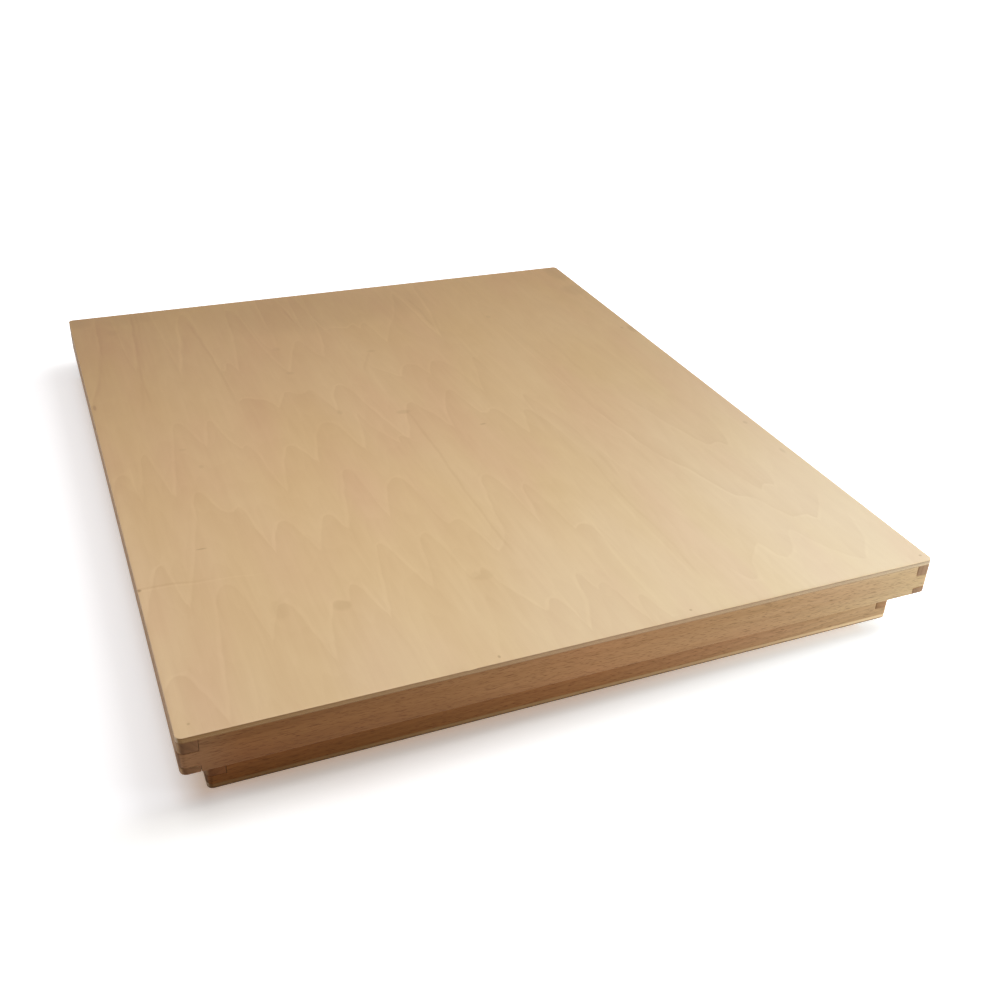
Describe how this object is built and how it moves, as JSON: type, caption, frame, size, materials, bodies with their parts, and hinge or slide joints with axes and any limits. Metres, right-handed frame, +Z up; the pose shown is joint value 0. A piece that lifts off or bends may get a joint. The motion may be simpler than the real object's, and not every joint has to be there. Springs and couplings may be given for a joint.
{
  "type": "wooden alphabet board",
  "caption": "Shallow finger-jointed wooden box with a lift-off plywood lid that laps over a base divided into compartments for loose letters.",
  "frame": {"origin": "on the resting surface, under the middle of the base", "axes": "+Z up, the way the lid lifts; +Y from the front to the back; +X from left to right"},
  "size_m": [0.45, 0.54, 0.049],
  "materials": {
    "lid_plywood": "satin clear lacquer",
    "lid_beech": "satin clear lacquer",
    "base_plywood": "satin clear lacquer",
    "base_beech": "satin clear lacquer",
    "divider_ply": "sanded, clear lacquer"
  },
  "bodies": {
    "base": {"base_panel": "base_plywood", "base_front_rail": "base_beech", "base_back_rail": "base_beech", "base_left_rail": "base_beech", "base_right_rail": "base_beech", "long_divider_1": "divider_ply", "long_divider_2": "divider_ply", "long_divider_3": "divider_ply", "long_divider_4": "divider_ply", "cross_divider_1": "divider_ply", "cross_divider_2": "divider_ply", "cross_divider_3": "divider_ply", "cross_divider_4": "divider_ply", "cross_divider_5": "divider_ply"},
    "lid": {"lid_panel": "lid_plywood", "lid_front_rail": "lid_beech", "lid_back_rail": "lid_beech", "lid_left_rail": "lid_beech", "lid_right_rail": "lid_beech"}
  },
  "joints": [
    {"name": "lid_lift", "type": "slide", "parent": "base", "child": "lid", "axis": [0, 0, 1], "range_m": [0, 0.15]}
  ]
}
